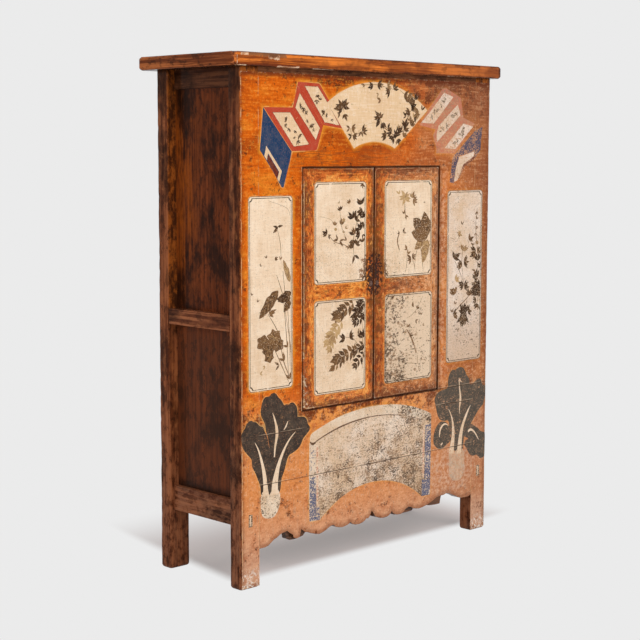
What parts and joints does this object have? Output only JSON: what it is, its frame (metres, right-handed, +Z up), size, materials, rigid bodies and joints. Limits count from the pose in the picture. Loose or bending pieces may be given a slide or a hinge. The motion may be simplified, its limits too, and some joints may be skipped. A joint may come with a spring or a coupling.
{
  "type": "wedding cabinet",
  "caption": "Tall painted case on four square legs with an overhanging mitred top, a scalloped apron and a pair of doors that turn on wooden pivots.",
  "frame": {"origin": "on the floor under the middle of the cabinet", "axes": "+X to the right of the painted front, the front faces -Y, +Z up"},
  "size_m": [1.236, 0.464, 1.64],
  "materials": {
    "lacquered_front": "worn lacquer",
    "stained_wood": "worn stain",
    "bare_wood": "bare",
    "iron": "dark, worn"
  },
  "bodies": {
    "cabinet": {"post_front_left": "lacquered_front", "post_front_right": "lacquered_front", "post_rear_left": "stained_wood", "post_rear_right": "stained_wood", "top_frame_front": "stained_wood", "top_frame_rear": "stained_wood", "top_frame_left": "stained_wood", "top_frame_right": "stained_wood", "top_board_front": "stained_wood", "top_board_rear": "stained_wood", "side_top_rail_left": "stained_wood", "side_top_rail_right": "stained_wood", "side_mid_rail_left": "stained_wood", "side_mid_rail_right": "stained_wood", "side_bottom_rail_left": "stained_wood", "side_bottom_rail_right": "stained_wood", "side_panel_upper_left": "stained_wood", "side_panel_upper_right": "stained_wood", "side_panel_lower_left": "stained_wood", "side_panel_lower_right": "stained_wood", "tenon_wedge_left": "bare_wood", "tenon_wedge_right": "bare_wood", "frieze_board": "lacquered_front", "face_board_left": "lacquered_front", "face_board_right": "lacquered_front", "sill_board": "lacquered_front", "lower_board": "lacquered_front", "apron_board": "lacquered_front", "lintel_rail": "bare_wood", "sill_rail": "bare_wood", "shelf_rail": "bare_wood", "floor_rail": "bare_wood", "rear_top_rail": "stained_wood", "rear_mid_rail": "stained_wood", "rear_bottom_rail": "stained_wood", "rear_board_upper_left": "stained_wood", "rear_board_upper_right": "stained_wood", "rear_board_lower_left": "stained_wood", "rear_board_lower_right": "stained_wood", "floor_board_front": "bare_wood", "floor_board_rear": "bare_wood", "shelf_board_front": "bare_wood", "shelf_board_rear": "bare_wood"},
    "left_door": {"left_hinge_stile": "lacquered_front", "left_meeting_stile": "lacquered_front", "left_top_rail": "lacquered_front", "left_mid_rail": "lacquered_front", "left_bottom_rail": "lacquered_front", "left_panel_upper": "lacquered_front", "left_panel_lower": "lacquered_front", "left_stud": "iron"},
    "right_door": {"right_hinge_stile": "lacquered_front", "right_meeting_stile": "lacquered_front", "right_top_rail": "lacquered_front", "right_mid_rail": "lacquered_front", "right_bottom_rail": "lacquered_front", "right_panel_upper": "lacquered_front", "right_panel_lower": "lacquered_front", "right_stud": "iron"}
  },
  "joints": [
    {"name": "left_door_hinge", "type": "hinge", "parent": "cabinet", "child": "left_door", "pos_m": [-0.3045, -0.2, 0.9145], "axis": [0, 0, -1], "range_deg": [0, 105]},
    {"name": "right_door_hinge", "type": "hinge", "parent": "cabinet", "child": "right_door", "pos_m": [0.3045, -0.2, 0.9145], "axis": [0, 0, 1], "range_deg": [0, 105]}
  ]
}
